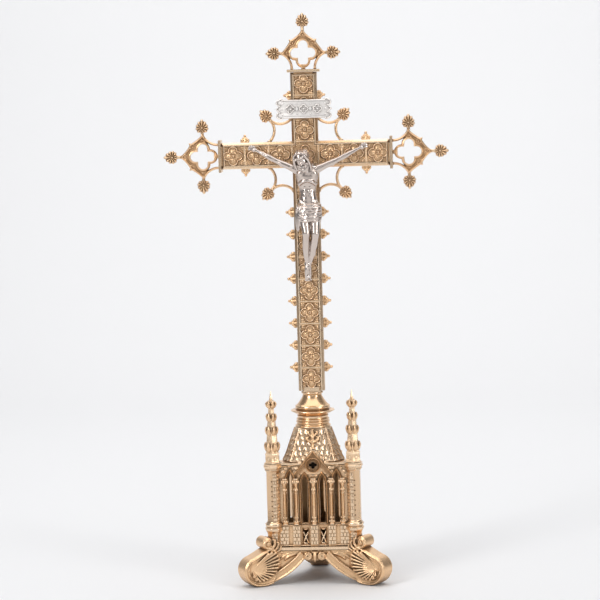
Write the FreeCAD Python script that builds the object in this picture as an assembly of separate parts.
import FreeCAD, Part
import math
import os
from FreeCAD import Rotation, Vector

# A free-standing Gothic altar cross: a three-footed tower base drawn together by one tie rod,
# a turned knop, and a hollow cruciform shaft with pierced terminals and a silvered figure.
# Millimetres. While modelling, the tie rod stands on the Z axis, the front faces -Y and the
# feet stand on Z = 0. save() then moves each piece so that the footprint's middle is the origin.

# ---- driving dimensions ----
crossing_z = 460.0       # height of the middle of the crossbar
arm_reach = 90.0         # rod axis to the end of each arm
top_reach = 87.3         # crossing to the end of the upper arm
shaft_foot_z = 206.0     # open lower end of the shaft
slot_top = 210.0         # top of the notch in the shaft's foot, where the ferrule shows
shaft_width = 28.0
cross_depth = 16.0
field_recess = 1.5       # how far the ornamented field lies behind the border moulding
border = 3.8
wall_plate = 2.0         # thickness of the cast plates of the hollow cross
panel_pitch = 23.9       # lower arm's row of square panels
panel_count = 10

collar_height = 34.6
collar_thickness = 3.0
collar_depth = 20.0

opening_reach = 13.2     # quatrefoil opening, centre to the top of a lobe
opening_lobe = 5.2
ring_width = 2.6
terminal_point = 23.6    # terminal centre to each point of its star frame
terminal_cusp = 13.7
terminal_rise = 17.3     # collar face to terminal centre
outer_leaf_tip = 42.4    # terminal centre to the tip of its outermost leaf finial
side_leaf_tip = 40.0     # and of the two beside it
leaf_thickness = 4.0

brace_corner = 35.5      # crossing centre to the corner of each brace, along X and along Z
brace_foot = 38.5
brace_sag = 33.0
brace_bar = 3.0

foot_reach = 91.0
foot_width = 18.0
turret_radius = 50.0     # rod axis to turret axis
turret_flats = 14.0
plate_low = 37.3         # floor plate of the tower
plate_high = 40.3
wall_top = 129.0
eave_top = 131.0
roof_top = 167.0
seat_top = 178.0
knop_top = 204.4
column_places = (0.0, 19.1, -19.1, 31.0, -31.0)
inner_lancet = 9.55
outer_lancet = 25.0

rod_diameter = 6.0
rod_low = 27.0
rod_high = 238.0
running_gap = 0.2        # radial room round each rod and stud

left_hand_x = -54.0
right_hand_x = 61.0
hand_z = 466.3
plaque_x = -1.2
plaque_z = 508.4
plaque_thickness = 2.2

footprint_shift = 18.9   # the footprint's middle lies this far behind the tie rod

SIDES = {"front": 0.0, "rear_right": 120.0, "rear_left": -120.0}
CORNERS = {"front_left": 210.0, "front_right": -30.0, "back": 90.0}


# ---- drawing helpers ----
def point(place, height=0.0):
    return Vector(place[0], place[1], height)


def trace(start, *steps):
    """A flat face. A step is the next corner, or a pair (point on the arc, end of the arc)."""
    here = point(start)
    edges = []
    for step in steps:
        if isinstance(step[0], tuple):
            there = point(step[1])
            edges.append(Part.Arc(here, point(step[0]), there).toShape())
        else:
            there = point(step)
            edges.append(Part.LineSegment(here, there).toShape())
        here = there
    if here.distanceToPoint(point(start)) > 1e-6:
        edges.append(Part.LineSegment(here, point(start)).toShape())
    return Part.Face(Part.Wire(edges))


def thicken(face, low, high):
    """Extrudes a flat face from one local height to another."""
    return face.translated(Vector(0, 0, low)).extrude(Vector(0, 0, high - low))


def stand(shape):
    """Turns a shape drawn flat so that local Y points up and local Z points to the front."""
    return shape.rotated(Vector(0, 0, 0), Vector(1, 0, 0), 90)


def turn(shape, degrees):
    return shape.rotated(Vector(0, 0, 0), Vector(0, 0, 1), degrees)


def tilt(shape, degrees):
    """Turns a standing shape about the front-to-back axis, clockwise seen from the front."""
    return shape.rotated(Vector(0, 0, 0), Vector(0, 1, 0), degrees)


def box(low, high):
    size = [high[i] - low[i] for i in range(3)]
    return Part.makeBox(size[0], size[1], size[2], Vector(*low))


def join(shapes):
    first = shapes[0]
    return first.fuse(list(shapes[1:])).removeSplitter()


def octagon(flats, low, high, facing=0.0, top_flats=None):
    """An upright eight-sided prism or frustum with one flat towards the angle facing."""
    wires = []
    for width, height in ((flats, low), (top_flats or flats, high)):
        radius = width / 2 / math.cos(math.pi / 8)
        corners = []
        for index in range(9):
            angle = math.radians(facing + 22.5 + 45 * index)
            corners.append(Vector(radius * math.cos(angle), radius * math.sin(angle), height))
        wires.append(Part.makePolygon(corners))
    return Part.makeLoft(wires, True, True)


def turned(profile):
    """A lathe piece: profile lists (radius, height) corners, up the outside and back down the bore."""
    corners = [Vector(radius, 0, height) for radius, height in profile]
    face = Part.Face(Part.makePolygon(corners + [corners[0]]))
    return face.revolve(Vector(0, 0, 0), Vector(0, 0, 1), 360)


def save(name, shape):
    """Writes one named piece, in the row frame."""
    moved = shape.translated(Vector(0, -footprint_shift, 0))
    if not moved.isValid():
        print("NOT VALID:", name)
    solids = moved.Solids
    whole = solids[0] if len(solids) == 1 else Part.makeCompound(solids)
    whole.exportStep("parts/" + name + ".step")
    volume = sum(solid.Volume for solid in solids)
    print(name, len(solids), "solids", round(volume / 1000, 2), "cm3")


# ---- base: feet, skirt and floor plate ----
def foot():
    """One scroll foot on the +X side: an S-shaped profile with a flat pad under its bulb."""
    outline = trace(
        (44.0, 13.0),
        ((54.0, 4.6), (64.0, 0.0)),
        (74.0, 0.0),
        ((86.6, 7.2), (foot_reach, 18.5)),
        ((87.6, 27.4), (80.0, 32.0)),
        ((71.6, 35.8), (63.6, 39.8)),
        ((67.8, 42.2), (68.6, 46.8)),
        ((64.4, 52.2), (57.6, 49.6)),
        (57.6, plate_low),
        (44.0, plate_low),
    )
    body = thicken(outline, -foot_width / 2, foot_width / 2)
    body = body.rotated(Vector(0, 0, 0), Vector(1, 0, 0), 90)
    for side in (1, -1):
        body = body.fuse(shell(side))
    stud_hole = Part.makeCylinder(rod_diameter / 2, 18, Vector(turret_radius, 0, plate_low - 18))
    return body.removeSplitter().cut(stud_hole)


def shell(side):
    """The raised fan on one flat side of a foot, a low dome with the hinge near the bulb."""
    fan = trace(
        (78.0, 9.0),
        ((66.0, 5.2), (54.6, 12.5)),
        ((49.5, 24.0), (53.5, 35.0)),
        ((64.0, 34.2), (75.5, 27.5)),
        ((82.0, 19.0), (78.0, 9.0)),
    )
    low = foot_width / 2
    solid = thicken(fan, low, low + 3.0)
    solid = solid.rotated(Vector(0, 0, 0), Vector(1, 0, 0), 90)
    return solid if side < 0 else solid.mirror(Vector(0, 0, 0), Vector(0, 1, 0))


def skirt():
    """Front panel between two feet, arched below, with a pair of volutes and a drop."""
    panel = trace(
        (-46.0, plate_low),
        (46.0, plate_low),
        (46.0, 4.5),
        ((28.0, 14.0), (12.0, 30.0)),
        (-12.0, 30.0),
        ((-28.0, 14.0), (-46.0, 4.5)),
    )
    plate = thicken(panel, 29.5, 32.5)
    bands = [plate]
    for side in (1, -1):
        band = trace(
            (46.0 * side, 3.5),
            ((28.0 * side, 13.0), (10.0 * side, 30.6)),
            (15.0 * side, 35.6),
            ((31.0 * side, 20.6), (46.0 * side, 11.5)),
        )
        bands.append(thicken(band, 29.5, 36.5))
        volute = Part.makeCylinder(4.4, 8.5, Vector(7.4 * side, 31.0, 29.5))
        bands.append(volute)
    drop = trace((-3.0, 31.0), ((-2.4, 26.0), (0.0, 23.6)), ((2.4, 26.0), (3.0, 31.0)))
    bands.append(thicken(drop, 29.5, 34.5))
    bands.append(thicken(trace((-3.2, 30.5), (3.2, 30.5), (3.2, 36.0), (-3.2, 36.0)), 29.5, 34.5))
    whole = stand(join(bands))
    slab = box((38.0, -foot_width / 2, -1.0), (100.0, foot_width / 2, 60.0))
    return whole.cut([turn(shape, angle) for shape in (slab, foot()) for angle in (210.0, -30.0)])


def triangle(apothem, corner, low, high):
    """A three-sided slab with cut corners: long sides at apothem, short sides at corner."""
    faces = []
    for angle in (-90.0, 30.0, 150.0):
        faces.append(turn(box((-200, -200, low), (apothem, 200, high)), angle))
    for angle in CORNERS.values():
        faces.append(turn(box((-200, -200, low), (corner, 200, high)), angle))
    slab = faces[0]
    for other in faces[1:]:
        slab = slab.common(other)
    return slab


def truncated_wire(apothem, corner, height):
    """Outline of the same cut-corner triangle, as one wire."""
    along = (corner - apothem / 2) / math.cos(math.pi / 6)
    first = Vector(-along, -apothem, height)
    second = Vector(along, -apothem, height)
    corners = []
    for index in range(3):
        angle = 120 * index
        for vertex in (first, second):
            corners.append(Rotation(Vector(0, 0, 1), angle).multVec(vertex))
    return Part.makePolygon(corners + [corners[0]])


def floor_plate():
    plate = triangle(32.5, turret_radius + turret_flats / 2 + 0.5, plate_low, plate_high)
    holes = [Part.makeCylinder(rod_diameter / 2 + running_gap, 9, Vector(0, 0, plate_low - 3))]
    for angle in CORNERS.values():
        centre = Vector(turret_radius, 0, plate_low - 3)
        holes.append(turn(Part.makeCylinder(rod_diameter / 2 + running_gap, 9, centre), angle))
    return plate.cut(holes)


# ---- tower: walls, turrets, spires, eaves and roof ----
def lancet(centre, half, low, spring, apex, back, front):
    """A pointed window as a cutting solid."""
    bow = half * 0.86
    shoulder = spring + (apex - spring) * 0.52
    face = trace(
        (centre - half, low),
        (centre + half, low),
        (centre + half, spring),
        ((centre + bow * 0.78, shoulder), (centre, apex)),
        ((centre - bow * 0.78, shoulder), (centre - half, spring)),
    )
    return thicken(face, back, front)


def wall():
    """Front wall: four lancets, five engaged columns on pedestals, and a pierced gable."""
    plate = thicken(
        trace((-42, plate_high), (42, plate_high), (42, wall_top), (-42, wall_top)), 23.5, 26.5
    )
    gable = thicken(trace((-21.5, 118.5), (21.5, 118.5), (0, 144.3)), 25.0, 29.5)
    band = thicken(trace((-42, 61.5), (42, 61.5), (42, 64.0), (-42, 64.0)), 25.0, 28.0)
    solids = [plate, gable, band]
    for place in column_places:
        solids.append(column(place))
    cuts = []
    for side in (1, -1):
        cuts.append(lancet(side * inner_lancet, 2.9, 66.0, 112.0, 121.0, 20, 40))
        cuts.append(lancet(side * outer_lancet, 3.0, 66.0, 113.0, 123.5, 20, 40))
        cuts.append(thicken(rectangle(side * inner_lancet, 51.0, 5.6, 17.0), 20, 40))
    cuts.append(quatrefoil(4.4, 1.8, 20, 40).translated(Vector(0, 128.4, 0)))
    panel = join(solids).cut(cuts)
    panel = panel.cut(thicken(trace((-60, 120), (60, 120), (60, wall_top), (0, 200), (-60, 200)), 10, 23.5))
    whole = stand(panel)
    trims = [turn(turret(solid=True), angle) for angle in (210.0, -30.0)]
    return whole.cut(trims)


def gable_finial():
    """Fleuron that rises from the front gable's point and lies against the roof."""
    flower = trace(
        (-1.5, 0.0),
        (-1.2, 6.5),
        ((-4.6, 7.6), (-5.0, 11.5)),
        ((-3.8, 15.0), (-1.6, 17.0)),
        ((0.0, 21.0), (1.6, 17.0)),
        ((3.8, 15.0), (5.0, 11.5)),
        ((4.6, 7.6), (1.2, 6.5)),
        (1.5, 0.0),
    )
    slab = thicken(flower, 0.0, 2.6)
    lean = math.degrees(math.atan2(4.1, 19.0))
    slab = stand(slab).rotated(Vector(0, 0, 0), Vector(1, 0, 0), -lean)
    on_roof = 18.4 + (148.0 - 145.6) * 5.2 / 17.0 + 0.05
    return slab.translated(Vector(0, -on_roof, 145.6)).cut(roof()).cut(wall())


def rectangle(middle_x, middle_y, width, height):
    left = middle_x - width / 2
    low = middle_y - height / 2
    return trace((left, low), (left + width, low), (left + width, low + height), (left, low + height))


def column(place):
    """Pedestal, base, shaft and capital of one engaged column, drawn flat."""
    outer = abs(place) > 25
    wide = 5.0 if outer else 8.4
    pedestal = thicken(rectangle(place, 51.9, wide, 63.0 - plate_high - 0.6), 24.5, 30.0)
    stack = [pedestal]
    drums = ((2.9, 63.0, 68.0), (1.9, 67.0, 100.0), (2.6, 99.0, 104.0), (3.3, 103.0, 115.0))
    for radius, low, high in drums:
        drum = Part.makeCylinder(radius, high - low, Vector(place, low, 27.2), Vector(0, 1, 0))
        stack.append(drum)
    return join(stack)


def quatrefoil(reach, lobe, low, high):
    """Four round-ended lobes about a centre, as a solid drawn flat."""
    away = reach - lobe
    parts = [thicken(rectangle(0, 0, 2 * away, 2 * lobe), low, high)]
    parts.append(thicken(rectangle(0, 0, 2 * lobe, 2 * away), low, high))
    for x, y in ((away, 0), (-away, 0), (0, away), (0, -away)):
        parts.append(Part.makeCylinder(lobe, high - low, Vector(x, y, low)))
    return join(parts)


def turret(solid=False):
    """Eight-sided corner turret on the +X side, with a ring below and a cornice above."""
    parts = [
        octagon(turret_flats, plate_high, 125.0),
        octagon(turret_flats, 57.5, 60.5, 0.0, 18.5),
        octagon(18.5, 60.5, 66.0),
        octagon(18.5, 66.0, 68.0, 0.0, turret_flats),
        octagon(turret_flats, 123.5, 126.5, 0.0, 18.8),
        octagon(18.8, 126.5, eave_top),
    ]
    whole = join(parts)
    if not solid:
        whole = whole.cut(Part.makeCylinder(rod_diameter / 2 + running_gap, 200))
    return whole.translated(Vector(turret_radius, 0, 0))


def spire():
    """Crocketed spire on the +X side, with a spigot down into its turret."""
    parts = [
        Part.makeCylinder(rod_diameter / 2, 14.0, Vector(0, 0, eave_top - 13.0)),
        octagon(14.4, eave_top, 142.0, 0.0, 12.8),
        octagon(12.8, 142.0, 188.0, 0.0, 4.6),
        octagon(4.6, 188.0, 191.0, 0.0, 4.6),
        octagon(4.6, 190.5, 196.5, 0.0, 11.0),
        octagon(11.0, 196.5, 198.0, 0.0, 9.0),
        Part.makeCone(1.9, 0.35, 11.4, Vector(0, 0, 197.5)),
    ]
    for height, reach, size in ((148.0, 6.6, 2.7), (166.5, 5.0, 2.3), (180.5, 3.9, 1.9)):
        for index in range(4):
            bud = Part.makeSphere(size, Vector(reach, 0, height))
            parts.append(turn(bud, 90 * index + 45))
    return join(parts).translated(Vector(turret_radius, 0, 0))


def eave_plate():
    """Three-sided plate that closes the tower's top and carries the roof."""
    plate = triangle(27.8, 47.0, wall_top, eave_top)
    cuts = [Part.makeCylinder(14.0, 10, Vector(0, 0, wall_top - 3))]
    for angle in CORNERS.values():
        cuts.append(turn(octagon(18.8, 120, 140).translated(Vector(turret_radius, 0, 0)), angle))
    for angle in SIDES.values():
        gable = thicken(trace((-26, 113.1), (26, 113.1), (0, 144.3)), 24.9, 40)
        cuts.append(turn(stand(gable), angle))
    return plate.cut(cuts)


def roof():
    """Hollow three-sided roof, flaring at the eaves, behind the three gables."""
    stations = ((23.6, 35.3, eave_top), (18.4, 27.6, 148.0), (14.3, 21.2, roof_top))
    shells = []
    for inset in (0.0, 2.4):
        wires = [truncated_wire(a - inset, c - inset, z) for a, c, z in stations]
        lower = Part.makeLoft(wires[:2], True, True)
        upper = Part.makeLoft(wires[1:], True, True)
        shells.append(join([lower, upper]))
    return shells[0].cut(shells[1])


# ---- turned pieces and the rod ----
def seat_ring():
    bore = rod_diameter / 2 + running_gap
    return turned(
        [
            (bore, roof_top),
            (19.2, roof_top),
            (19.2, 168.4),
            (17.6, 170.4),
            (17.6, 171.4),
            (18.2, 172.4),
            (17.2, 173.4),
            (17.2, 174.2),
            (17.8, 175.4),
            (16.6, 176.6),
            (16.6, seat_top),
            (bore, seat_top),
        ]
    )


def knop():
    """Turned bell above a thin sharp flange."""
    bore = rod_diameter / 2 + running_gap
    outside = [
        (16.6, seat_top),
        (17.4, 180.4),
        (20.6, 182.4),
        (23.4, 184.4),
        (19.2, 185.0),
        (18.4, 186.4),
        (18.6, 189.6),
        (17.8, 190.4),
        (14.2, 194.4),
        (10.8, 198.6),
        (10.1, 200.6),
        (10.3, 202.2),
        (11.6, 203.2),
        (11.4, knop_top),
    ]
    return turned([(bore, seat_top)] + outside + [(bore, knop_top)])


def tenon():
    """Foot of the shaft: a round-fronted ferrule on the knop, with a flat tongue up inside."""
    rise = slot_top - knop_top
    ferrule = Part.makeCylinder(11.3, rise, Vector(0, 0, knop_top))
    ferrule = ferrule.common(box((-9.8, -7.9, knop_top), (9.8, 7.9, slot_top)))
    inner = cross_depth / 2 - field_recess - wall_plate
    tongue = box((-9.8, -inner + 0.1, knop_top), (9.8, inner - 0.1, knop_top + 40.0))
    bore = Part.makeCylinder(rod_diameter / 2, rod_high - knop_top, Vector(0, 0, knop_top))
    return join([ferrule, tongue]).cut(bore)


def rod_washer():
    ring = Part.makeCylinder(7.5, 1.2, Vector(0, 0, plate_low - 1.2))
    return ring.cut(Part.makeCylinder(rod_diameter / 2 + running_gap, 4, Vector(0, 0, plate_low - 3)))


def rod_nut():
    corners = []
    for index in range(7):
        angle = math.radians(60 * index)
        radius = 5.0 / math.cos(math.pi / 6)
        corners.append(Vector(radius * math.cos(angle), radius * math.sin(angle), 0))
    blank = Part.Face(Part.makePolygon(corners)).extrude(Vector(0, 0, 5.0))
    blank = blank.translated(Vector(0, 0, plate_low - 6.2))
    return blank.cut(Part.makeCylinder(rod_diameter / 2, 9, Vector(0, 0, plate_low - 8)))


def tie_rod():
    return Part.makeCylinder(rod_diameter / 2, rod_high - rod_low, Vector(0, 0, rod_low))


def corner_stud():
    """Joins a foot, the floor plate and a turret."""
    return Part.makeCylinder(rod_diameter / 2, 34.0, Vector(turret_radius, 0, plate_low - 16.0))


# ---- the cross ----
def cruciform(inset, back, front, foot_z=None):
    """A cross-shaped slab, standing, its edges inset from the outline."""
    half = shaft_width / 2 - inset
    low = foot_z if foot_z is not None else shaft_foot_z
    high = crossing_z + top_reach
    reach = arm_reach - inset
    upright = box((-half, -front, low), (half, -back, high - inset))
    bar = box((-reach, -front, crossing_z - half), (reach, -back, crossing_z + half))
    return join([upright, bar])


def panel_centres():
    """Middles of the square panels: (x, z) from the foot up, then the arms."""
    places = []
    first = crossing_z - shaft_width / 2 - panel_pitch / 2
    for index in range(panel_count):
        places.append((0.0, first - index * panel_pitch))
    places.append((0.0, crossing_z))
    step = (top_reach - shaft_width / 2) / 3
    for index in range(3):
        places.append((0.0, crossing_z + shaft_width / 2 + step * (index + 0.5)))
    step = (arm_reach - shaft_width / 2) / 3
    for index in range(3):
        for side in (1, -1):
            places.append((side * (shaft_width / 2 + step * (index + 0.5)), crossing_z))
    return places


def relief(front):
    """Quatrefoil rims standing on the field, joined to the face of one cross plate."""
    field = cross_depth / 2 - field_recess
    rim = quatrefoil(9.4, 4.4, field - 0.5, field + 1.0)
    rim = rim.cut(quatrefoil(8.4, 3.4, field - 1.0, field + 2.0))
    shapes = []
    for x, z in panel_centres():
        standing = stand(rim.translated(Vector(x, z, 0)))
        shapes.append(standing if front else turn(standing, 180))
    return shapes


def cross_front():
    """Cast front: bordered field with quatrefoil rims, and the side walls of the hollow."""
    half = cross_depth / 2
    inner = half - field_recess - wall_plate
    body = cruciform(0.0, -inner, half)
    body = body.cut(cruciform(border, half - field_recess, half + 5, shaft_foot_z - 5))
    body = body.cut(cruciform(3.0, -inner - 5, inner, shaft_foot_z - 5))
    body = body.fuse(relief(True)).removeSplitter()
    slot = box((-9.9, -half - 1, shaft_foot_z - 5), (9.9, inner + 2, slot_top))
    return body.cut(slot).cut(nails())


def cross_back():
    """Cast back plate, bordered and ornamented like the front."""
    half = cross_depth / 2
    inner = half - field_recess - wall_plate
    body = cruciform(0.0, -half, -inner)
    body = body.cut(cruciform(border, -half - 5, -half + field_recess, shaft_foot_z - 5))
    body = body.fuse(relief(False)).removeSplitter()
    slot = box((-9.9, inner - 2, shaft_foot_z - 5), (9.9, half + 5, slot_top))
    return body.cut(slot)


def collar():
    """End plate of an arm, drawn for the top arm about its own middle."""
    half = collar_height / 2
    plate = box((-half, -collar_depth / 2, 0), (half, collar_depth / 2, collar_thickness))
    edges = [e for e in plate.Edges if e.BoundBox.ZLength < 0.01]
    return plate.makeChamfer(0.6, edges)


def at_terminals(shape):
    """The same standing shape at the three arm ends, by name; drawn with Z = 0 on the arm's end."""
    up = shape.translated(Vector(0, 0, crossing_z + top_reach))
    middle = Vector(0, 0, crossing_z)
    right = shape.translated(Vector(0, 0, arm_reach))
    right = tilt(right, 90).translated(middle)
    left = shape.translated(Vector(0, 0, arm_reach))
    left = tilt(left, -90).translated(middle)
    return {"top": up, "right": right, "left": left}


def terminal():
    """Pierced star terminal standing on its collar: web, raised frame, ring and two legs."""
    tip = 1.4
    cusp = terminal_cusp
    far = terminal_point
    web = trace(
        (-far, -tip),
        (-far, tip),
        ((-17.4, 7.1), (-cusp, cusp)),
        ((-7.1, 17.4), (-tip, far)),
        (tip, far),
        ((7.1, 17.4), (cusp, cusp)),
        ((17.4, 7.1), (far, tip)),
        (far, -tip),
        ((15.6, -8.0), (13.4, -terminal_rise)),
        (-13.4, -terminal_rise),
        ((-15.6, -8.0), (-far, -tip)),
    )
    window = trace(
        (-far + 5.4, 0.0),
        ((-14.6, 4.6), (-cusp + 2.0, cusp - 2.6)),
        ((-5.0, 14.6), (0.0, far - 5.4)),
        ((5.0, 14.6), (cusp - 2.0, cusp - 2.6)),
        ((14.6, 4.6), (far - 5.4, 0.0)),
        ((12.7, -8.6), (10.9, -terminal_rise)),
        (-10.9, -terminal_rise),
        ((-12.7, -8.6), (-far + 5.4, 0.0)),
    )
    lower = thicken(trace((-30, -4.5), (30, -4.5), (30, -30), (-30, -30)), -5, 5)
    outer = quatrefoil(opening_reach + ring_width, opening_lobe + ring_width, -3.0, 3.0)
    thin = thicken(web, -1.4, 1.4)
    frame = thicken(web, -3.0, 3.0).cut(thicken(window, -5, 5))
    body = thin.cut(thicken(window, -5, 5).common(lower))
    foot_block = thicken(rectangle(0, 1.5 - terminal_rise, 6.0, 3.0), -3.0, 3.0)
    whole = join([frame, body, outer, foot_block])
    whole = whole.cut(quatrefoil(opening_reach, opening_lobe, -6.0, 6.0))
    return stand(whole).translated(Vector(0, 0, terminal_rise + collar_thickness))


def leaf(length):
    """Palmette leaf finial pointing up, its stem's foot on Z = 0, with a boss on each face."""
    stem = length - 14.2
    wide = stem + 5.2
    blade = trace(
        (-1.3, 0.0),
        (-1.3, stem),
        ((-5.4, stem + 0.9), (-7.0, wide)),
        ((-4.9, wide + 5.2), (0.0, length)),
        ((4.9, wide + 5.2), (7.0, wide)),
        ((5.4, stem + 0.9), (1.3, stem)),
        (1.3, 0.0),
    )
    body = thicken(blade, -leaf_thickness / 2, leaf_thickness / 2)
    boss = Part.makeSphere(2.6, Vector(0, wide, 0))
    return stand(join([body, boss]))


def terminal_leaves():
    """The three leaves of one terminal, on its free points."""
    centre = Vector(0, 0, terminal_rise + collar_thickness)
    leaves = []
    for angle, tip in ((0, outer_leaf_tip), (90, side_leaf_tip), (-90, side_leaf_tip)):
        raised = leaf(tip - terminal_point).translated(Vector(0, 0, terminal_point))
        leaves.append(tilt(raised, angle).translated(centre))
    return Part.makeCompound(leaves)


def brace():
    """Curved corner brace of the upper right quarter: two bars that meet at a flat-cut corner."""
    half = brace_bar / 2
    wall = shaft_width / 2
    low = trace(
        (wall, brace_foot - half),
        ((24.0, brace_sag - half), (brace_corner - half, brace_corner - half)),
        ((brace_sag - half, 24.0), (brace_foot - half, wall)),
        (brace_foot + half, wall),
        ((brace_sag + half, 24.0), (brace_corner + half, brace_corner - 0.6)),
        (brace_corner - 0.6, brace_corner + half),
        ((24.0, brace_sag + half), (wall, brace_foot + half)),
    )
    return stand(thicken(low, -half, half))


def brace_leaf():
    """Leaf on the brace's corner, pointing away from the crossing at 45 degrees."""
    corner = brace_corner + brace_bar / 2 - 1.05
    face = corner * math.sqrt(2.0)
    return tilt(leaf(14.8).translated(Vector(0, 0, face)), 45)


def at_quarters(shape):
    """A quarter piece in its four places round the crossing."""
    centre = Vector(0, 0, crossing_z)
    places = {"upper_right": 0, "lower_right": 90, "lower_left": 180, "upper_left": 270}
    return {name: tilt(shape, angle).translated(centre) for name, angle in places.items()}


def crocket():
    """Three-lobed side bud pointing to +X from a shaft face at X = 0."""
    outline = trace(
        (0.0, -5.0),
        ((2.6, -4.6), (4.4, -1.9)),
        (7.4, -1.0),
        (7.4, 1.0),
        (4.4, 1.9),
        ((2.6, 4.6), (0.0, 5.0)),
    )
    body = thicken(outline, -2.4, 2.4)
    ball = Part.makeSphere(1.7, Vector(8.0, 0, 0))
    return stand(join([body, ball]))


def shaft_crockets(side):
    """Eight buds down one side of the lower arm, one at each bar between panels."""
    first = crossing_z - shaft_width / 2 - 2 * panel_pitch
    bud = crocket() if side > 0 else turn(crocket(), 180)
    buds = []
    for index in range(8):
        height = first - index * panel_pitch
        buds.append(bud.translated(Vector(side * shaft_width / 2, 0, height)))
    return Part.makeCompound(buds)


def arm_crockets():
    """Buds above and below each arm, and beside the upper arm."""
    half = shaft_width / 2
    place = half + 2 * (arm_reach - half) / 3
    rise = crossing_z + half + 2 * (top_reach - half) / 3
    up = tilt(crocket(), -90)
    down = tilt(crocket(), 90)
    buds = [
        crocket().translated(Vector(half, 0, rise)),
        turn(crocket(), 180).translated(Vector(-half, 0, rise)),
    ]
    for side in (1, -1):
        buds.append(up.translated(Vector(side * place, 0, crossing_z + half)))
        buds.append(down.translated(Vector(side * place, 0, crossing_z - half)))
    return Part.makeCompound(buds)


# ---- figure and title plaque ----
def ellipse_wire(x, y, z, wide, deep):
    """A level ellipse, wide along X and deep along Y."""
    centre = Vector(x, y, z)
    if wide >= deep:
        curve = Part.Ellipse(centre + Vector(wide, 0, 0), centre + Vector(0, deep, 0), centre)
    else:
        curve = Part.Ellipse(centre + Vector(0, deep, 0), centre + Vector(-wide, 0, 0), centre)
    return Part.Wire(curve.toShape())


def corpus():
    """The cast figure in plain masses: trunk with legs, two arms and a bowed head."""
    front = -cross_depth / 2
    trunk_stations = (
        (0.4, front - 4.4, 324.5, 3.0, 3.2),
        (0.8, front - 6.0, 333.0, 3.6, 4.4),
        (2.2, front - 7.0, 343.0, 3.0, 4.6),
        (3.6, front - 9.0, 358.0, 6.4, 6.6),
        (4.2, front - 11.5, 376.0, 8.0, 7.6),
        (4.2, front - 9.0, 392.0, 11.0, 8.0),
        (3.8, front - 8.6, 404.0, 12.2, 7.8),
        (2.8, front - 8.8, 420.0, 9.8, 6.8),
        (1.2, front - 9.6, 436.0, 13.2, 8.0),
        (0.2, front - 9.2, 445.5, 12.0, 6.0),
    )
    trunk = Part.makeLoft([ellipse_wire(*s) for s in trunk_stations], True, False)
    masses = [trunk]
    for hand_x, shoulder_x in ((left_hand_x, -10.5), (right_hand_x, 10.5)):
        shoulder = Vector(shoulder_x, front - 9.4, 441.5)
        hand = Vector(hand_x, front - 2.3, hand_z)
        reach = hand - shoulder
        masses.append(Part.makeCone(4.6, 2.1, reach.Length, shoulder, reach))
        masses.append(Part.makeSphere(2.9, hand))
    masses.append(Part.makeSphere(10.2, Vector(-2.6, front - 12.8, 455.0)))
    masses.append(box((-1.6, front - 3.0, 327.0), (3.0, front, 333.0)))
    figure = join(masses)
    figure = figure.cut(box((-100, front, 300), (100, front + 40, 500)))
    return figure.cut(nails())


def nails():
    """Three round-headed nails through the hands and feet into the cross's front plate."""
    front = -cross_depth / 2
    pins = []
    for x, z, stand_off in ((left_hand_x, hand_z, 5.8), (right_hand_x, hand_z, 5.8), (0.7, 330.0, 10.2)):
        head = Part.makeSphere(1.7, Vector(x, front - stand_off, z))
        depth = field_recess + wall_plate
        root = Vector(x, front + depth, z)
        shank = Part.makeCylinder(0.8, stand_off + depth, root, Vector(0, -1, 0))
        pins.append(join([head, shank]))
    return Part.makeCompound(pins)


def plaque():
    """Title plaque with scrolled ends, lying against the border of the upper arm."""
    half = 23.0
    upper = [
        (half, -9.4),
        ((half + 1.6, -11.2), (half + 3.0, -10.2)),
        ((half + 6.6, -7.8), (half + 3.4, -3.6)),
        (half + 7.3, 0.0),
        (half + 3.4, 3.6),
        ((half + 6.6, 7.8), (half + 3.0, 10.2)),
        ((half + 1.6, 11.2), (half, 9.4)),
    ]
    lower = [
        (-half, 9.4),
        ((-half - 1.6, 11.2), (-half - 3.0, 10.2)),
        ((-half - 6.6, 7.8), (-half - 3.4, 3.6)),
        (-half - 7.3, 0.0),
        (-half - 3.4, -3.6),
        ((-half - 6.6, -7.8), (-half - 3.0, -10.2)),
        ((-half - 1.6, -11.2), (-half, -9.4)),
    ]
    outline = trace(*(upper + lower))
    plate = thicken(outline, cross_depth / 2, cross_depth / 2 + plaque_thickness)
    plate = stand(plate).translated(Vector(plaque_x, 0, plaque_z))
    return plate.cut(plaque_rivets())


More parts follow.
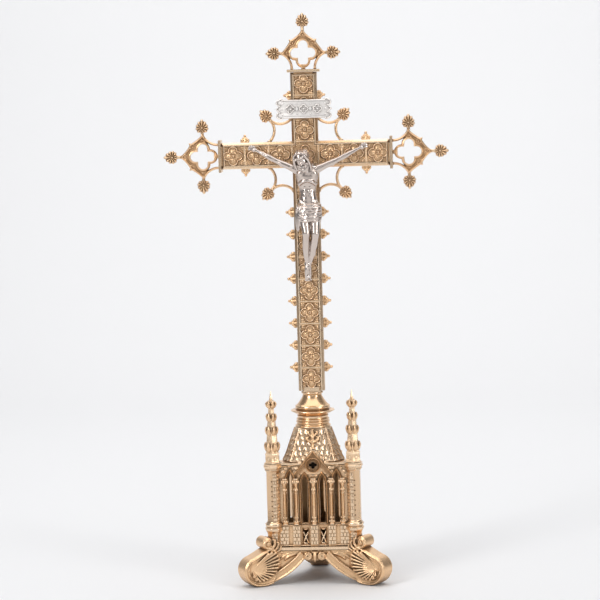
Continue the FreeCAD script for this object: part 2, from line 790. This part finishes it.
def plaque_rivets():
    """Two round-headed rivets through the plaque, down to the border of the cross."""
    pins = []
    face = -cross_depth / 2 - plaque_thickness
    for x in (-11.9, 11.9):
        root = Vector(x, -cross_depth / 2, plaque_z)
        shank = Part.makeCylinder(0.9, plaque_thickness, root, Vector(0, -1, 0))
        in_front = box((x - 3, face - 3, plaque_z - 3), (x + 3, face, plaque_z + 3))
        head = Part.makeSphere(1.5, Vector(x, face, plaque_z)).common(in_front)
        pins.append(join([shank, head]))
    return Part.makeCompound(pins)


def main():
    os.makedirs("parts", exist_ok=True)
    one_foot = foot()
    one_turret = turret()
    one_spire = spire()
    one_wall = wall()
    one_skirt = skirt()
    one_finial = gable_finial()
    for name, angle in CORNERS.items():
        save("foot_" + name, turn(one_foot, angle))
        save("turret_" + name, turn(one_turret, angle))
        save("spire_" + name, turn(one_spire, angle))
    for name, angle in SIDES.items():
        save("wall_" + name, turn(one_wall, angle))
        save("skirt_" + name, turn(one_skirt, angle))
        save("gable_finial_" + name, turn(one_finial, angle))
    studs = [turn(corner_stud(), angle) for angle in CORNERS.values()]
    save("corner_studs", Part.makeCompound(studs))
    save("floor_plate", floor_plate())
    save("eave_plate", eave_plate())
    save("roof", roof())
    save("seat_ring", seat_ring())
    save("knop", knop())
    save("shaft_tenon", tenon())
    save("tie_rod", tie_rod())
    save("rod_nut", rod_nut())
    save("rod_washer", rod_washer())
    save("cross_front", cross_front())
    save("cross_back", cross_back())
    for kind, shape in (("collar", collar()), ("terminal", terminal()), ("leaves", terminal_leaves())):
        for name, placed in at_terminals(shape).items():
            save(kind + "_" + name, placed)
    for kind, shape in (("brace", brace()), ("brace_leaf", brace_leaf())):
        for name, placed in at_quarters(shape).items():
            save(kind + "_" + name, placed)
    save("shaft_crockets_left", shaft_crockets(-1))
    save("shaft_crockets_right", shaft_crockets(1))
    save("arm_crockets", arm_crockets())
    save("corpus", corpus())
    save("corpus_nails", nails())
    save("title_plaque", plaque())
    save("plaque_rivets", plaque_rivets())


main()
